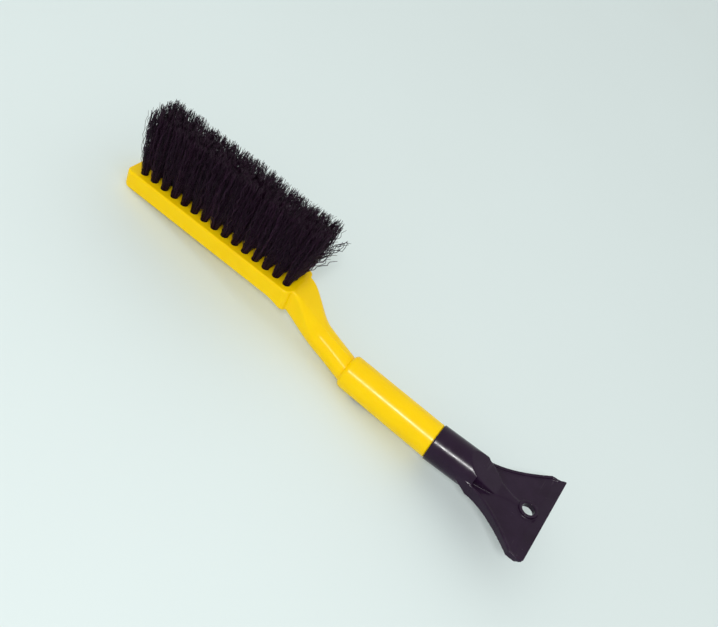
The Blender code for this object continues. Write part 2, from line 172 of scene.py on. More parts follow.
# Bristles of one tuft: a pair is the least and the most of an even spread, a scatter is a deviation,
# and a power says how soon a bristle leans, fans out or joins its lock on its way to its tip
SEED = 20
STRANDS_PER_TUFT = 125
STRAND_POINTS = 14
STRAND_SIDES = 3
STRAND_RADIUS = 0.00024
STRAND_THICKNESS = (0.8, 1.15)
STRAND_END_TAPER = (0.95, 0.55)
FIRST_SPAN = 0.05
TIP_SPREAD = 1.12
TIP_SCATTER = 0.16
LOCKS_PER_TUFT = 4
LOCK_PLACE = (-1.1, 1.1)
LOCK_PULL = (0.05, 0.42)
LOCK_LENGTH = (-0.0016, 0.0014)
LOCK_EDGE_DROP = 0.0012
EXTRA_LENGTH = 0.0006
MOST_EXTRA_LENGTH = 0.0018
LENGTH_SCATTER = 0.0009
SHORT_SHARE = 0.12
SHORTENING = (0.001, 0.010)
LEAN_POWER = 0.95
FAN_POWER = 1.7
GATHER_POWER = 5
BOW = 0.0013
CRIMP = (0.00035, 0.00095)
CRIMP_WAVE = (0.011, 0.017)

# Loose hairs at the two ends of the brush
FREE_END_STRAYS = {"count": 4, "lean": (-0.004, -0.001), "wander": 0.0007, "height": 0.058}
REAR_STRAYS = {"count": 8, "lean": (0.024, 0.005), "wander": 0.0026, "height": 0.061}
REAR_STRAY_RADIUS = STRAND_RADIUS * 1.3
STRAY_POINTS = 18
STRAY_ROOT_SCATTER = 0.0012
STRAY_REACH = (0.6, 1.2)
STRAY_TIP_SCATTER = 0.003
STRAY_LENGTH = (0.72, 1.0)
STRAY_WAVE = (0.009, 0.016)
STRAY_SWING = (0.5, 1.0)
STRAY_LEAN_POWER = 1.25

# Camera and lights, in the brush's own frame, but the flash is placed from the camera
CAMERA_PLACE = Vector((0.3484, -0.5057, 0.4815))
CAMERA_AIM = Vector((0.2164, 0.0649, -0.0475))
CAMERA_ROLL = math.radians(28.907)
CAMERA_LENS = 43.486
CAMERA_SENSOR_WIDTH = 36.0
CAMERA_CLIP = (0.01, 20.0)
FLASH_OFFSET = Vector((0.06, 0.16, 1.10))
FLASH_SIZE = 0.24
FLASH_POWER = 10.0
STREAK_SIZE = 0.3
GRIP_STREAK = (Vector((0.15, -2.48, 2.56)), 78.0)
NECK_STREAK = (Vector((1.45, -2.40, 2.50)), 34.0)
SKY_COLOUR = (0.98, 1.0, 0.99, 1.0)
SKY_STRENGTH = 0.83
FLOOR_HALF_SIZE = 6.0

# How the brush lies: tipped onto the end of its head and the start of its grip
TILT = math.radians(10.2851)

random = np.random.default_rng(SEED)


def brush_place():
    """From the brush's own frame to the row frame, by where the CAD has the first tuft's tips."""
    turn = Matrix.Rotation(-TILT, 4, "Y")
    half = (TIP_COLUMN_PITCH - GAP) / 2
    front = turn @ Vector((FIRST_TIP_X - half, 0.0, BRISTLE_LENGTH))
    rear = turn @ Vector((FIRST_TIP_X + half, 0.0, BRISTLE_LENGTH))
    tuft_low, tuft_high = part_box("tuft_r1_c01")
    return Matrix.Translation((tuft_low.x - front.x, 0.0, tuft_high.z - rear.z)) @ turn


BRUSH = brush_place()


def link(item):
    bpy.context.scene.collection.objects.link(item)
    return item


def mesh_object(name, shape):
    """A new object from a bmesh, which is freed."""
    mesh = bpy.data.meshes.new(name)
    shape.to_mesh(mesh)
    shape.free()
    return link(bpy.data.objects.new(name, mesh))


def apply_modifiers(item):
    """Replaces the object's mesh with its evaluated mesh."""
    bpy.context.view_layer.update()
    graph = bpy.context.evaluated_depsgraph_get()
    made = bpy.data.meshes.new_from_object(item.evaluated_get(graph))
    item.modifiers.clear()
    item.data = made


def combine(target, other, operation):
    """Applies a boolean and removes the other object."""
    modifier = target.modifiers.new(operation, "BOOLEAN")
    modifier.object = other
    modifier.operation = operation
    modifier.solver = "EXACT"
    apply_modifiers(target)
    bpy.data.objects.remove(other, do_unlink=True)


def smooth(item, angle):
    """Smooth shading up to an angle in degrees, with flat faces kept flat next to rounded edges."""
    item.data.shade_smooth()
    item.data.set_sharp_from_angle(angle=math.radians(angle))
    weights = item.modifiers.new("normals", "WEIGHTED_NORMAL")
    weights.keep_sharp = True
    weights.weight = FLAT_FACE_WEIGHT


# ---------------------------------------------------------------- shapes shared by the pieces


def cylinder(name, radius, low, high):
    """A closed cylinder from the point low to the point high."""
    axis = high - low
    turn = axis.to_track_quat("Z", "Y").to_matrix().to_4x4()
    shape = bmesh.new()
    bmesh.ops.create_cone(
        shape,
        cap_ends=True,
        segments=ROUND_SIDES,
        radius1=radius,
        radius2=radius,
        depth=axis.length,
        matrix=Matrix.Translation((low + high) / 2) @ turn,
    )
    return mesh_object(name, shape)


def cutter_box(name, place):
    """A cube much larger than the brush's sections, centred by the matrix place."""
    shape = bmesh.new()
    bmesh.ops.create_cube(shape, size=CUTTER_SIZE, matrix=place)
    return mesh_object(name, shape)


def flat_plate(name, outline, low, high):
    """A flat outline in X and Y, thickened from height low to height high."""
    shape = bmesh.new()
    bottom = [shape.verts.new((x, y, low)) for x, y in outline]
    top = [shape.verts.new((x, y, high)) for x, y in outline]
    shape.faces.new(bottom)
    shape.faces.new(top)
    for i in range(len(outline)):
        j = (i + 1) % len(outline)
        shape.faces.new((bottom[i], bottom[j], top[j], top[i]))
    bmesh.ops.recalc_face_normals(shape, faces=shape.faces)
    return mesh_object(name, shape)


def loft(name, rings):
    """A closed body through rings of points, all with the same number of points."""
    shape = bmesh.new()
    loops = [[shape.verts.new(point) for point in ring] for ring in rings]
    for first, second in zip(loops, loops[1:]):
        for i in range(len(first)):
            j = (i + 1) % len(first)
            shape.faces.new((first[i], first[j], second[j], second[i]))
    shape.faces.new(list(reversed(loops[0])))
    shape.faces.new(loops[-1])
    bmesh.ops.recalc_face_normals(shape, faces=shape.faces)
    return mesh_object(name, shape)


def rounded_section(half_width, back_z, face_z, back_radius, face_radius):
    """Points (y, z) round a rectangle whose corners are arcs; full radii make it a circle."""
    limit = min(half_width, (face_z - back_z) / 2)
    back_radius = min(back_radius, limit)
    face_radius = min(face_radius, limit)
    corners = (
        (half_width - face_radius, face_z - face_radius, face_radius, 0.0),
        (-half_width + face_radius, face_z - face_radius, face_radius, 90.0),
        (-half_width + back_radius, back_z + back_radius, back_radius, 180.0),
        (half_width - back_radius, back_z + back_radius, back_radius, 270.0),
    )
    points = []
    for centre_y, centre_z, radius, start in corners:
        for step in range(CORNER_STEPS + 1):
            angle = math.radians(start + 90.0 * step / CORNER_STEPS)
            points.append((centre_y + radius * math.cos(angle), centre_z + radius * math.sin(angle)))
    return points


def between(low, high, steps):
    """Evenly spaced values from low to high, with both."""
    return [low + (high - low) * i / steps for i in range(steps + 1)]


def eased(x, start, end, first, last, last_slope):
    """A cubic from (start, first), leaving it flat, to (end, last), arriving at last_slope."""
    if x <= start:
        return first
    span = end - start
    t = (x - start) / span
    ease = t * t * (3 - 2 * t)
    return first + (last - first) * ease + last_slope * span * (t - 1) * t * t


def inset_at_end(x, radius):
    """How far a rounded end has drawn in at distance x from the end."""
    if x >= radius:
        return 0.0
    x = max(x, radius * 0.01)
    return radius - math.sqrt(radius * radius - (radius - x) ** 2)


# ---------------------------------------------------------------- handle


def neck_half_width(x):
    """From the head's rear corners, narrowing to the round neck."""
    rear_half_width = HEAD_WIDTH / 2 - HEAD_REAR_CORNER_RADIUS
    return eased(x, HEAD_REAR_X, NECK_WAIST_X, rear_half_width, NECK_RADIUS, 0.0)


def ridge(x, angle):
    """The height of the fine moulding line that runs along the top of the neck."""
    if not RIDGE_START_X < x < RIDGE_END_X:
        return 0.0
    share = (x - RIDGE_START_X) / (RIDGE_END_X - RIDGE_START_X)
    middle = RIDGE_START_ANGLE + (RIDGE_END_ANGLE - RIDGE_START_ANGLE) * share
    away = math.radians(angle - middle) * NECK_RADIUS / RIDGE_SPREAD
    return RIDGE_HEIGHT * math.sin(math.pi * share) ** 0.5 * math.exp(-away * away)


def with_ridge(x, centre_z, section):
    """The points of a section at x, pushed out where the ridge runs."""
    points = []
    for y, z in section:
        out = Vector((y, z - centre_z))
        angle = math.degrees(math.atan2(out.y, out.x))
        out = out * (1.0 + ridge(x, angle) / max(out.length, 1e-6))
        points.append((x, out.x, out.y + centre_z))
    return points


def head_and_bend_rings():
    quarter = between(0.0, math.pi / 2, CURVE_STEPS)
    stations = [HEAD_START_X + HEAD_END_RADIUS * (1 - math.cos(angle)) for angle in quarter]
    stations += between(*HEAD_RINGS)
    stations += between(*HEAD_REAR_RINGS)
    stations += [HEAD_REAR_X - HEAD_REAR_CORNER_RADIUS * (1 - math.sin(angle)) for angle in quarter]
    stations += between(*BEND_RINGS)
    back_end_z = NECK_START_Z - NECK_RADIUS
    face_end_z = NECK_START_Z + NECK_RADIUS
    rings = []
    for x in stations:
        draw = inset_at_end(x - HEAD_START_X, HEAD_END_RADIUS)
        face_draw = inset_at_end(x - HEAD_START_X, HEAD_FACE_EDGE_RADIUS)
        rear_draw = inset_at_end(HEAD_REAR_X - x, HEAD_REAR_CORNER_RADIUS)
        back_share = eased(x, BACK_BEND_START_X, NECK_START_X, 0.0, 1.0, 0.0)
        face_share = eased(x, FACE_BEND_START_X, NECK_START_X, 0.0, 1.0, 0.0)
        back = eased(x, BACK_BEND_START_X, NECK_START_X, -HEAD_THICKNESS, back_end_z, NECK_SLOPE)
        face = eased(x, FACE_BEND_START_X, NECK_START_X, 0.0, face_end_z, NECK_SLOPE)
        section = rounded_section(
            neck_half_width(x) if x > HEAD_REAR_X else HEAD_WIDTH / 2 - draw - rear_draw,
            back + draw,
            face - face_draw,
            HEAD_BACK_EDGE_RADIUS + (NECK_RADIUS - HEAD_BACK_EDGE_RADIUS) * back_share,
            HEAD_FACE_EDGE_RADIUS + (NECK_RADIUS - HEAD_FACE_EDGE_RADIUS) * face_share,
        )
        rings.append(with_ridge(x, (back + face) / 2, section))
    return rings


def neck_z(x):
    """The height of the neck's middle line."""
    return NECK_START_Z + NECK_SLOPE * (x - NECK_START_X)


def neck_rings():
    rings = []
    for x in between(*NECK_RINGS):
        half_width = neck_half_width(min(x, NECK_WAIST_X))
        centre_z = neck_z(x)
        section = rounded_section(
            half_width,
            centre_z - NECK_RADIUS,
            centre_z + NECK_RADIUS,
            NECK_RADIUS,
            NECK_RADIUS,
        )
        rings.append(with_ridge(x, centre_z, section))
    return rings


def shoulder_and_grip_rings():
    rings = []
    centre_z = neck_z(GRIP_START_X)
    for angle in between(0.0, math.pi / 2, CURVE_STEPS):
        share = math.sin(angle)
        x = GRIP_START_X + SHOULDER_RADIUS * (1 - math.cos(angle))
        radius = NECK_RADIUS + (GRIP_START_RADIUS - NECK_RADIUS) * share
        section = rounded_section(radius, centre_z - radius, centre_z + radius, radius, radius)
        rings.append([(x, y, z) for y, z in section])
    for x, radius in ((-GRIP_END_ROUND, GRIP_RADIUS), (0.0, GRIP_RADIUS - GRIP_END_ROUND)):
        rings.append(circle_on_scraper_axis(x, radius))
    return rings


def scraper_frame():
    """The scraper's axis starts at the grip's end and is pitched up towards the bristle side."""
    return Matrix.Translation((GRIP_END_X, 0.0, GRIP_END_Z)) @ Matrix.Rotation(-SCRAPER_PITCH, 4, "Y")


def circle_on_scraper_axis(x, radius):
    """A ring round the scraper's axis, at distance x from the grip's end."""
    circle = rounded_section(radius, -radius, radius, radius, radius)
    return [scraper_frame() @ Vector((x, y, z)) for y, z in circle]


def column_x(column):
    return FIRST_COLUMN_X + COLUMN_PITCH * column


def row_y(row):
    return ROW_PITCH * (row - (TUFT_ROWS - 1) / 2)


def tuft_holes():
    """One cutter for all the holes, from just above the bristle face to their bottoms."""
    shape = bmesh.new()
    above = 0.001
    for column in range(TUFT_COLUMNS):
        for row in range(TUFT_ROWS):
            middle = Vector((column_x(column), row_y(row), (above - TUFT_HOLE_DEPTH) / 2))
            bmesh.ops.create_cone(
                shape,
                cap_ends=True,
                segments=TUFT_HOLE_SIDES,
                radius1=TUFT_HOLE_RADIUS,
                radius2=TUFT_HOLE_RADIUS,
                depth=TUFT_HOLE_DEPTH + above,
                matrix=Matrix.Translation(middle),
            )
    return mesh_object("tuft_holes", shape)


def make_handle():
    spigot = [circle_on_scraper_axis(x, SPIGOT_RADIUS) for x in (0.0, SPIGOT_LENGTH)]
    rings = head_and_bend_rings() + neck_rings() + shoulder_and_grip_rings() + spigot
    handle = loft("handle_moulding", rings)
    combine(handle, tuft_holes(), "DIFFERENCE")
    bore_start = scraper_frame() @ Vector((GRIP_BORE_START_X - GRIP_END_X, 0.0, 0.0))
    bore_end = scraper_frame() @ Vector((SPIGOT_LENGTH * 2, 0.0, 0.0))
    combine(handle, cylinder("grip_bore", GRIP_BORE_RADIUS, bore_start, bore_end), "DIFFERENCE")
    smooth(handle, HANDLE_SHARP_ANGLE)
    return handle


# ---------------------------------------------------------------- scraper


def blade_side(inset=0.0):
    """The blade's side from its root to its corner, moved inwards by inset."""
    points = [(BLADE_ROOT_X, BLADE_ROOT_HALF_WIDTH - inset)]
    spread = BLADE_HALF_WIDTH - BLADE_FLARE_HALF_WIDTH
    span = BLADE_CORNER_X - BLADE_FLARE_X
    for share in between(0.0, 1.0, BLADE_SIDE_STEPS):
        slope = spread / span * BLADE_FLARE_POWER * share ** (BLADE_FLARE_POWER - 1)
        length = math.hypot(1.0, slope)
        x = BLADE_FLARE_X + span * share + inset * slope / length
        y = BLADE_FLARE_HALF_WIDTH + spread * share**BLADE_FLARE_POWER - inset / length
        points.append((x, y))
    return points


def mirrored(side):
    """A closed outline from the points of its +Y side."""
    return side + [(x, -y) for x, y in reversed(side)]


def slope_cutter(name, side, start, angle):
    """Cuts above (side 1) or below (side -1) a plane through start (x, z) that slopes to the middle."""
    edge = Matrix.Translation((start[0], 0.0, start[1]))
    turn = Matrix.Rotation(side * angle, 4, "Y")
    lift = Matrix.Translation((CUTTER_SIZE / 2 - CUTTER_LEAD, 0.0, side * CUTTER_SIZE / 2))
    return cutter_box(name, edge @ turn @ lift)


def rounded_corner():
    """The arc at the +Y corner of the cutting edge."""
    centre_x = BLADE_EDGE_X - BLADE_CORNER_RADIUS
    centre_y = BLADE_EDGE_HALF_WIDTH - BLADE_CORNER_RADIUS
    return [
        (centre_x + BLADE_CORNER_RADIUS * math.cos(a), centre_y + BLADE_CORNER_RADIUS * math.sin(a))
        for a in between(math.pi / 2, 0.0, CURVE_STEPS)
    ]


def make_blade():
    """A thin web with a rim on each side, which gets shallower towards the cutting edge."""
    outer = blade_side() + [(BLADE_EDGE_X, BLADE_EDGE_HALF_WIDTH)]
    blade = flat_plate("blade", mirrored(outer), RIM_BOTTOM_Z, RIM_TOP_Z)
    inner_half_width = BLADE_HALF_WIDTH - RIM_WIDTH
    inner = [point for point in blade_side(RIM_WIDTH) if point[1] < inner_half_width]
    inner += [(BLADE_CORNER_X, inner_half_width), (BLADE_EDGE_X * CUT_MARGIN, BLADE_EDGE_HALF_WIDTH)]
    combine(blade, flat_plate("above_web", mirrored(inner), WEB_TOP_Z, CUT_DEPTH), "DIFFERENCE")
    combine(blade, flat_plate("below_web", mirrored(inner), -CUT_DEPTH, WEB_BOTTOM_Z), "DIFFERENCE")
    rim_start = (RIM_BOTTOM_START_X, RIM_BOTTOM_Z)
    root_start = (BLADE_ROOT_X, RIM_ROOT_Z)
    lip_start = (BLADE_EDGE_X - LIP_UNDERCUT_LENGTH, LIP_UNDERCUT_START_Z)
    combine(blade, slope_cutter("rim_bottom", -1, rim_start, RIM_BOTTOM_ANGLE), "DIFFERENCE")
    combine(blade, slope_cutter("rim_root", -1, root_start, RIM_ROOT_ANGLE), "DIFFERENCE")
    combine(blade, slope_cutter("lip_undercut", -1, lip_start, LIP_UNDERCUT_ANGLE), "DIFFERENCE")
    return blade


def make_lip():
    """The strip at the cutting edge that rises out of the web."""
    start = BLADE_EDGE_X - LIP_LENGTH - GAP
    profile = (
        (start, WEB_BOTTOM_Z),
        (start + GAP, WEB_BOTTOM_Z),
        (BLADE_EDGE_X, LIP_EDGE_Z - LIP_EDGE_THICKNESS),
        (BLADE_EDGE_X, LIP_EDGE_Z),
        (start + GAP, WEB_TOP_Z),
        (start, WEB_TOP_Z),
    )
    rings = [[(x, y, z) for x, z in profile] for y in (-BLADE_EDGE_HALF_WIDTH, BLADE_EDGE_HALF_WIDTH)]
    return loft("cutting_lip", rings)


def make_outline_trim():
    """The scraper's outline from above, whose intersection rounds the corners of the lip."""
    collar_half_width = COLLAR_RADIUS * CUT_MARGIN
    collar = [(-GAP, collar_half_width), (BLADE_ROOT_X, collar_half_width)]
    side = [(x, y + GAP) for x, y in blade_side()[1:-1]]
    corner = [(BLADE_CORNER_X, BLADE_HALF_WIDTH)] + rounded_corner()
    return flat_plate("outline_trim", mirrored(collar + side + corner), -CUT_DEPTH, CUT_DEPTH)


def make_tongue():
    """A leaf-shaped continuation of the collar, before it is cut to a slope."""
    tongue = flat_plate("tongue", mirrored(list(TONGUE_SIDE)), -COLLAR_RADIUS, COLLAR_RADIUS)
    whole_length = Vector((BLADE_EDGE_X, 0.0, 0.0))
    combine(tongue, cylinder("tongue_round", COLLAR_RADIUS, Vector(), whole_length), "INTERSECT")
    return tongue


def make_underside():
    """The collar's lower half, which runs on under the web."""
    low = Vector((COLLAR_LENGTH / 2, 0.0, 0.0))
    high = Vector((COLLAR_UNDERSIDE_LENGTH, 0.0, 0.0))
    underside = cylinder("underside", COLLAR_RADIUS, low, high)
    top = Matrix.Translation((COLLAR_UNDERSIDE_LENGTH, 0.0, CUTTER_SIZE / 2 + WEB_TOP_Z - GAP))
    combine(underside, cutter_box("underside_top", top), "DIFFERENCE")
    return underside


def make_collar_and_tongue():
    """The solid collar with its tongue and underside, both cut to slopes that meet the blade."""
    collar_start = Vector((GAP, 0.0, 0.0))
    collar_end = Vector((COLLAR_LENGTH, 0.0, 0.0))
    collar = cylinder("scraper_moulding", COLLAR_RADIUS, collar_start, collar_end)
    combine(collar, make_tongue(), "UNION")
    combine(collar, make_underside(), "UNION")
    above_start = (SLOPE_START_X, COLLAR_RADIUS)
    below_start = (UNDERSIDE_SLOPE_START_X, -COLLAR_RADIUS)
    combine(collar, slope_cutter("slope_above", 1, above_start, SLOPE_ANGLE), "DIFFERENCE")
    combine(collar, slope_cutter("slope_below", -1, below_start, UNDERSIDE_SLOPE_ANGLE), "DIFFERENCE")
    return collar


def upright_cylinder(name, radius, low_z, high_z):
    """A cylinder on the axis of the hang hole."""
    return cylinder(name, radius, Vector((HANG_HOLE_X, 0.0, low_z)), Vector((HANG_HOLE_X, 0.0, high_z)))


def make_scraper():
    scraper = make_collar_and_tongue()
    combine(scraper, make_blade(), "UNION")
    combine(scraper, make_lip(), "UNION")
    keel = [point for point in TONGUE_SIDE if point[0] > COLLAR_LENGTH]
    combine(scraper, flat_plate("keel", mirrored(keel), WEB_BOTTOM_Z + GAP, KEEL_TOP_Z), "UNION")
    boss = upright_cylinder("boss", BOSS_RADIUS, BOSS_BOTTOM_Z, BOSS_TOP_Z)
    combine(scraper, boss, "UNION")
    hang_hole = upright_cylinder("hang_hole", HANG_HOLE_RADIUS, -CUT_DEPTH, CUT_DEPTH)
    combine(scraper, hang_hole, "DIFFERENCE")
    combine(scraper, make_outline_trim(), "INTERSECT")
    bore_start = Vector((-CUT_DEPTH, 0.0, 0.0))
    bore_end = Vector((COLLAR_BORE_DEPTH, 0.0, 0.0))
    combine(scraper, cylinder("collar_bore", COLLAR_BORE_RADIUS, bore_start, bore_end), "DIFFERENCE")
    round_edges(scraper)
    scraper.data.transform(scraper_frame())
    return scraper


def round_edges(item):
    """Remeshes the moulding finely and relaxes it, which rounds every edge a little."""
    remesh = item.modifiers.new("remesh", "REMESH")
    remesh.mode = "VOXEL"
    remesh.voxel_size = SCRAPER_VOXEL
    apply_modifiers(item)
    relax = item.modifiers.new("relax", "SMOOTH")
    relax.factor = RELAX_FACTOR
    relax.iterations = RELAX_STEPS
    apply_modifiers(item)
    item.data.shade_smooth()


# ---------------------------------------------------------------- bristles


def tuft_root(row, column):
    return np.array((column_x(column), row_y(row)))


def tuft_tip(row, column):
    """The middle of a tuft's tips; the tufts at both ends of the brush splay outwards."""
    x = FIRST_TIP_X + TIP_COLUMN_PITCH * column
    if column == 0:
        x -= END_SPLAY
    if column == TUFT_COLUMNS - 1:
        x += END_SPLAY / 2
    return np.array((x, TIP_ROW_PITCH * (row - (TUFT_ROWS - 1) / 2) + TIP_LEAN_Y))


def random_roots():
    """Points strewn over a round of radius 1, and the same points spread out to a square."""
    reach = np.sqrt(random.uniform(0.0, 1.0, STRANDS_PER_TUFT))
    turn = random.uniform(0.0, 2 * math.pi, STRANDS_PER_TUFT)
    disc = np.stack((reach * np.cos(turn), reach * np.sin(turn)), axis=1)
    square = disc / np.maximum(np.abs(np.cos(turn)), np.abs(np.sin(turn)))[:, None]
    return disc, square


def gather_in_locks(spread):
    """Pulls the tips towards a few locks; gives the new tips, and each one's lock and way to it."""
    locks = random.uniform(*LOCK_PLACE, (LOCKS_PER_TUFT, 2))
    away = np.linalg.norm(spread[:, None, :] - locks[None, :, :], axis=2)
    nearest = np.argmin(away, axis=1)
    pull = random.uniform(*LOCK_PULL, (STRANDS_PER_TUFT, 1))
    return spread + (locks[nearest] - spread) * pull, nearest, away.min(axis=1)


def strand_lengths(lock, away):
    """Each lock has its own length and falls off at its edge, and some bristles are much shorter."""
    count = STRANDS_PER_TUFT
    lock_length = random.uniform(*LOCK_LENGTH, LOCKS_PER_TUFT)
    length = BRISTLE_LENGTH + EXTRA_LENGTH + lock_length[lock] - LOCK_EDGE_DROP * np.minimum(away, 1.0)
    length = length + random.normal(0.0, LENGTH_SCATTER, count)
    short = random.uniform(0.0, 1.0, count) < SHORT_SHARE
    length = np.where(short, length - random.uniform(*SHORTENING, count), length)
    return np.minimum(length, BRISTLE_LENGTH + MOST_EXTRA_LENGTH)


def rooted(paths):
    """Starts each path at the bottom of its tuft's hole, straight below its first point."""
    below = np.copy(paths[:, :1, :])
    below[:, :, 2] = GAP - TUFT_HOLE_DEPTH
    return np.concatenate((below, paths), axis=1)


def strand_paths(row, column):
    """The centre lines of one tuft's bristles, as an array of (strands, points, 3)."""
    count = STRANDS_PER_TUFT
    root = tuft_root(row, column)
    tip = tuft_tip(row, column)
    cell = np.array((TIP_COLUMN_PITCH, TIP_ROW_PITCH)) / 2
    disc, square = random_roots()
    spread = square * TIP_SPREAD + random.normal(0.0, TIP_SCATTER, (count, 2))
    gathered, lock, away = gather_in_locks(spread)
    length = strand_lengths(lock, away)
    bow = random.normal(0.0, BOW, (count, 2))
    crimp = random.uniform(*CRIMP, count)
    wave = random.uniform(*CRIMP_WAVE, count)
    phase = random.uniform(0.0, 2 * math.pi, (count, 2))

    shares = np.linspace(0.0, 1.0, STRAND_POINTS)
    shares[1] = FIRST_SPAN
    paths = np.zeros((count, STRAND_POINTS, 3))
    for point, share in enumerate(shares):
        along = share * length
        fan = 1.0 - (1.0 - share) ** FAN_POWER
        place = root + (tip - root) * share**LEAN_POWER
        place = place + disc * TUFT_ROOT_RADIUS * (1.0 - fan) + spread * cell * fan
        place = place + (gathered - spread) * cell * share**GATHER_POWER
        place = place + bow * (4 * share * (1 - share))
        swing = crimp[:, None] * np.sin(2 * math.pi * (along / wave)[:, None] + phase)
        paths[:, point, :2] = place + swing * min(1.0, 4 * share)
        paths[:, point, 2] = along
    return rooted(paths)


def stray_paths(root, count, lean, wander, height):
    """The centre lines of a few loose curly hairs that leave the tuft towards lean."""
    shares = np.linspace(0.0, 1.0, STRAY_POINTS)
    paths = np.zeros((count, STRAY_POINTS, 3))
    for stray in range(count):
        start = root + random.normal(0.0, STRAY_ROOT_SCATTER, 2)
        target = np.array(lean) * random.uniform(*STRAY_REACH) + random.normal(0.0, STRAY_TIP_SCATTER, 2)
        length = height * random.uniform(*STRAY_LENGTH)
        wave = random.uniform(*STRAY_WAVE)
        phase = random.uniform(0.0, 2 * math.pi, 2)
        size = wander * random.uniform(*STRAY_SWING)
        for point, share in enumerate(shares):
            along = share * length
            swing = size * np.sin(2 * math.pi * along / wave + phase) * share
            paths[stray, point, :2] = start + target * share**STRAY_LEAN_POWER + swing
            paths[stray, point, 2] = along
    return rooted(paths)


def add_tubes(vertices, faces, tints, paths, radius):
    """Adds a thin tapered tube along each path, closed at both ends, with one tint each."""
    count, points = paths.shape[:2]
    first = len(vertices)
    tone = random.uniform(0.0, 1.0, count)
    thick = random.uniform(*STRAND_THICKNESS, count) * radius
    spin = random.uniform(0.0, 2 * math.pi, count)
    tangents = np.gradient(paths, axis=1)
    tangents /= np.linalg.norm(tangents, axis=2, keepdims=True)
    never_along = np.tile(np.array((0.35, 0.93, 0.1)), (count, 1))
    taper = np.ones(points)
    taper[-2:] = STRAND_END_TAPER
    for point in range(points):
        side = np.cross(tangents[:, point], never_along)
        side /= np.linalg.norm(side, axis=1, keepdims=True)
        other = np.cross(tangents[:, point], side)
        for corner in range(STRAND_SIDES):
            angle = spin + 2 * math.pi * corner / STRAND_SIDES
            offset = side * np.cos(angle)[:, None] + other * np.sin(angle)[:, None]
            vertices.extend((paths[:, point] + offset * (thick * taper[point])[:, None]).tolist())
            tints.extend(tone.tolist())

    def index(strand, point, corner):
        """Where a tube's corner is among the vertices."""
        return first + (point * STRAND_SIDES + corner % STRAND_SIDES) * count + strand

    corners = range(STRAND_SIDES)
    for strand in range(count):
        for point in range(points - 1):
            for corner in corners:
                near = (index(strand, point, corner), index(strand, point, corner + 1))
                far = (index(strand, point + 1, corner + 1), index(strand, point + 1, corner))
                faces.append(near + far)
        faces.append(tuple(index(strand, 0, corner) for corner in reversed(corners)))
        faces.append(tuple(index(strand, points - 1, corner) for corner in corners))


def make_tuft(row, column):
    """One tuft's bristles as one mesh, with the loose hairs on the tufts at both ends."""
    vertices, faces, tints = [], [], []
    add_tubes(vertices, faces, tints, strand_paths(row, column), STRAND_RADIUS)
    root = tuft_root(row, column)
    if column == 0:
        strays = stray_paths(root, **FREE_END_STRAYS)
        add_tubes(vertices, faces, tints, strays, STRAND_RADIUS)
    if column == TUFT_COLUMNS - 1:
        strays = stray_paths(root, **REAR_STRAYS)
        add_tubes(vertices, faces, tints, strays, REAR_STRAY_RADIUS)
    mesh = bpy.data.meshes.new("tuft")
    mesh.from_pydata(vertices, [], faces)
    tone = mesh.attributes.new("strand_tone", "FLOAT", "POINT")
    tone.data.foreach_set("value", tints)
    mesh.shade_smooth()
    mesh.update()
    return link(bpy.data.objects.new(f"bristles_r{row + 1}_c{column + 1:02d}", mesh))


# ---------------------------------------------------------------- materials


class Nodes:
    """A material's node tree, with short calls for the nodes used here."""

    def __init__(self, name):
        self.material = bpy.data.materials.new(name)
        self.material.use_nodes = True
        self.tree = self.material.node_tree
        self.shader = self.tree.nodes["Principled BSDF"]

    def node(self, kind, **settings):
        made = self.tree.nodes.new(kind)
        for key, value in settings.items():
            setattr(made, key, value)
        return made

    def join(self, output, target):
        self.tree.links.new(output, target)

    def coordinates(self, scale):
        source = self.node("ShaderNodeTexCoord")
        mapping = self.node("ShaderNodeMapping")
        mapping.inputs["Scale"].default_value = scale
        self.join(source.outputs["Object"], mapping.inputs["Vector"])
        return mapping.outputs["Vector"]

    def noise(self, scale, detail=3.0, roughness=0.55, stretch=(1.0, 1.0, 1.0), distortion=0.0):
        made = self.node("ShaderNodeTexNoise")
        made.inputs["Scale"].default_value = scale
        made.inputs["Detail"].default_value = detail
        made.inputs["Roughness"].default_value = roughness
        made.inputs["Distortion"].default_value = distortion
        self.join(self.coordinates(stretch), made.inputs["Vector"])
        return made.outputs["Fac"]

    def ramp(self, value, stops):
        """A colour for value, from stops of (place, colour)."""
        made = self.node("ShaderNodeValToRGB")
        elements = made.color_ramp.elements
        while len(elements) < len(stops):
            elements.new(0.5)
        for element, (place, colour) in zip(elements, stops):
            element.position = place
            element.color = (*colour, 1.0)
        self.join(value, made.inputs["Fac"])
        return made.outputs["Color"]

    def spread(self, value, low, high, from_low=0.3, from_high=0.7):
        """Value stretched from the range of from_low to from_high to that of low to high."""
        made = self.node("ShaderNodeMapRange")
        made.inputs["From Min"].default_value = from_low
        made.inputs["From Max"].default_value = from_high
        made.inputs["To Min"].default_value = low
        made.inputs["To Max"].default_value = high
        self.join(value, made.inputs["Value"])
        return made.outputs["Result"]

    def bump(self, value, strength, distance, before=None):
        made = self.node("ShaderNodeBump")
        made.inputs["Strength"].default_value = strength
        made.inputs["Distance"].default_value = distance
        self.join(value, made.inputs["Height"])
        if before is not None:
            self.join(before, made.inputs["Normal"])
        return made.outputs["Normal"]

    def mix(self, share, first, second):
        made = self.node("ShaderNodeMix", data_type="RGBA")
        self.join(share, made.inputs["Factor"])
        self.join(first, made.inputs[6])
        self.join(second, made.inputs[7])
        return made.outputs[2]

    def multiply(self, first, second):
        made = self.node("ShaderNodeMath", operation="MULTIPLY")
        self.join(first, made.inputs[0])
        self.join(second, made.inputs[1])
        return made.outputs["Value"]

    def shade(self, socket, output):
        self.join(output, self.shader.inputs[socket])

    def set(self, socket, value):
        self.shader.inputs[socket].default_value = value


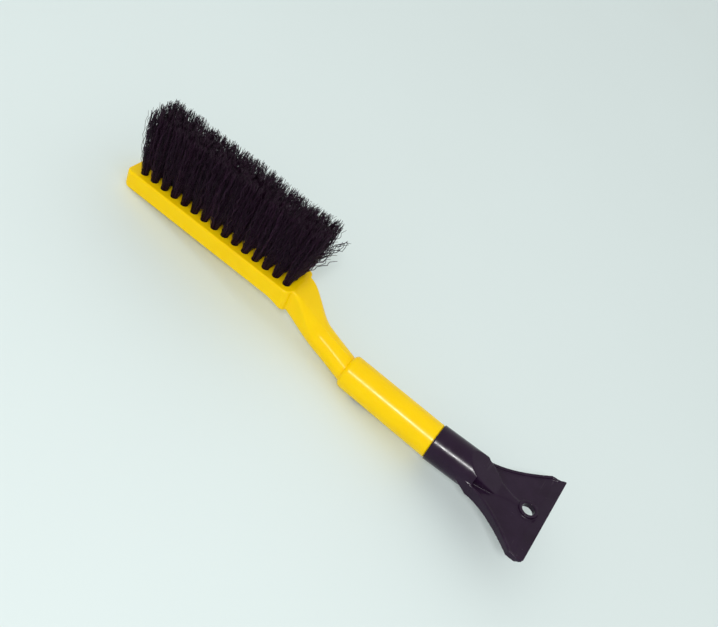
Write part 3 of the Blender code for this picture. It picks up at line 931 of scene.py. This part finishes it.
def yellow_plastic():
    made = Nodes("yellow_plastic")
    deep, middle, light = (0.90, 0.575, 0.001), (0.93, 0.605, 0.001), (0.95, 0.630, 0.002)
    cloud = made.noise(38.0, detail=4.0)
    made.shade("Base Color", made.ramp(cloud, ((0.25, deep), (0.55, middle), (0.80, light))))
    made.shade("Roughness", made.spread(made.noise(160.0, detail=5.0), low=0.19, high=0.28))
    waves = made.bump(made.noise(70.0, detail=2.0), strength=0.07, distance=0.0010)
    grain = made.bump(made.noise(2600.0, detail=2.0), strength=0.10, distance=0.0001, before=waves)
    made.shade("Normal", grain)
    made.set("IOR", 1.49)
    made.set("Specular IOR Level", 0.12)
    made.set("Subsurface Weight", 0.12)
    made.set("Subsurface Radius", (1.0, 0.5, 0.08))
    made.set("Subsurface Scale", 0.002)
    return made.material


def black_plastic():
    """Moulded black plastic with patches of fine pale scratches across the brush."""
    made = Nodes("black_plastic")
    deep, middle, light = (0.012, 0.003, 0.014), (0.017, 0.006, 0.021), (0.024, 0.010, 0.028)
    cloud = made.noise(55.0, detail=5.0, roughness=0.6)
    base = made.ramp(cloud, ((0.25, deep), (0.55, middle), (0.85, light)))
    lines = made.noise(420.0, detail=2.0, roughness=0.5, stretch=(1.0, 0.04, 1.0), distortion=0.4)
    lines = made.spread(lines, low=0.0, high=1.0, from_low=0.62, from_high=0.70)
    patches = made.spread(made.noise(30.0), low=0.0, high=0.55, from_low=0.48, from_high=0.62)
    scratches = made.multiply(lines, patches)
    pale = made.ramp(cloud, ((0.0, (0.048, 0.036, 0.050)), (1.0, (0.062, 0.048, 0.064))))
    made.shade("Base Color", made.mix(scratches, base, pale))
    made.shade("Roughness", made.spread(made.noise(190.0, detail=5.0), low=0.18, high=0.28))
    waves = made.bump(made.noise(85.0, detail=2.0), strength=0.12, distance=0.0008)
    grain = made.bump(made.noise(2200.0, detail=2.0), strength=0.14, distance=0.0001, before=waves)
    made.shade("Normal", made.bump(scratches, strength=0.20, distance=0.0001, before=grain))
    made.set("IOR", 1.49)
    made.set("Specular IOR Level", 0.18)
    return made.material


def bristle():
    """Each bristle has its own tone, and pale painted highlights run along it in thin lines."""
    made = Nodes("bristle")
    tone = made.node("ShaderNodeAttribute", attribute_name="strand_tone").outputs["Fac"]
    deep, middle, light = (0.004, 0.001, 0.004), (0.011, 0.002, 0.010), (0.028, 0.008, 0.025)
    base = made.ramp(tone, ((0.0, deep), (0.6, middle), (1.0, light)))
    # Painted highlight: the pale lilac lines along each bristle stand in for glints. The tone under them
    # differs at random from bristle to bristle.
    painted_glint_lines = made.noise(900.0, detail=2.0, roughness=0.5, stretch=(1.0, 1.0, 0.1))
    pale = made.ramp(tone, ((0.0, (0.006, 0.002, 0.006)), (1.0, (0.050, 0.020, 0.045))))
    made.shade("Base Color", made.mix(painted_glint_lines, base, pale))
    made.shade("Roughness", made.spread(made.noise(300.0, detail=2.0), low=0.26, high=0.40))
    made.set("IOR", 1.53)
    made.set("Specular IOR Level", 0.11)
    return made.material


def floor_material():
    made = Nodes("floor")
    deep, light = (0.705, 0.785, 0.775), (0.720, 0.805, 0.797)
    made.shade("Base Color", made.ramp(made.noise(1.6), ((0.3, deep), (0.7, light))))
    made.set("Roughness", 0.7)
    made.set("Specular IOR Level", 0.2)
    return made.material


# ---------------------------------------------------------------- light, floor and camera


def make_floor():
    shape = bmesh.new()
    bmesh.ops.create_grid(shape, x_segments=1, y_segments=1, size=FLOOR_HALF_SIZE)
    floor = mesh_object("floor", shape)
    floor.data.materials.append(floor_material())


def camera_turn():
    """The camera's direction and roll, in the brush's own frame."""
    look = (CAMERA_AIM - CAMERA_PLACE).to_track_quat("-Z", "Y").to_matrix().to_4x4()
    return look @ Matrix.Rotation(CAMERA_ROLL, 4, "Z")


def make_camera():
    data = bpy.data.cameras.new("camera")
    data.lens = CAMERA_LENS
    data.sensor_width = CAMERA_SENSOR_WIDTH
    data.clip_start, data.clip_end = CAMERA_CLIP
    camera = link(bpy.data.objects.new("camera", data))
    camera.matrix_world = BRUSH @ Matrix.Translation(CAMERA_PLACE) @ camera_turn()
    bpy.context.scene.camera = camera


def area_light(name, place, aim, size, power):
    data = bpy.data.lights.new(name, "AREA")
    data.shape = "DISK"
    data.size = size
    data.energy = power
    light = link(bpy.data.objects.new(name, data))
    turn = (aim - place).to_track_quat("-Z", "Y").to_matrix().to_4x4()
    light.matrix_world = Matrix.Translation(place) @ turn
    light.visible_camera = False
    return light


def make_lights():
    """A flash behind the camera, two lights that only draw highlights on grip and neck, and a sky."""
    aim = BRUSH @ CAMERA_AIM
    flash_place = BRUSH @ Matrix.Translation(CAMERA_PLACE) @ camera_turn() @ FLASH_OFFSET
    area_light("flash", flash_place, aim, FLASH_SIZE, FLASH_POWER)
    for name, (place, power) in (("grip_streak", GRIP_STREAK), ("neck_streak", NECK_STREAK)):
        streak = area_light(name, BRUSH @ place, aim, STREAK_SIZE, power)
        streak.visible_diffuse = False
    world = bpy.data.worlds.new("studio")
    bpy.context.scene.world = world
    world.use_nodes = True
    sky = world.node_tree.nodes["Background"]
    sky.inputs["Color"].default_value = SKY_COLOUR
    sky.inputs["Strength"].default_value = SKY_STRENGTH
    bpy.context.scene.view_settings.view_transform = "Standard"


# ---------------------------------------------------------------- the whole


def place_piece(piece, material, node):
    """Takes a piece from the brush's own frame to the row frame, and puts it in its node's place."""
    piece.data.transform(BRUSH)
    piece.data.materials.clear()
    piece.data.materials.append(material)
    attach(piece, "root")
    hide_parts(node)


place_piece(make_handle(), yellow_plastic(), "brush_handle")
place_piece(make_scraper(), black_plastic(), "ice_scraper")
bristle_material = bristle()
for row in range(TUFT_ROWS):
    for column in range(TUFT_COLUMNS):
        node = f"tuft_r{row + 1}_c{column + 1:02d}"
        place_piece(make_tuft(row, column), bristle_material, node)
make_floor()
make_camera()
make_lights()
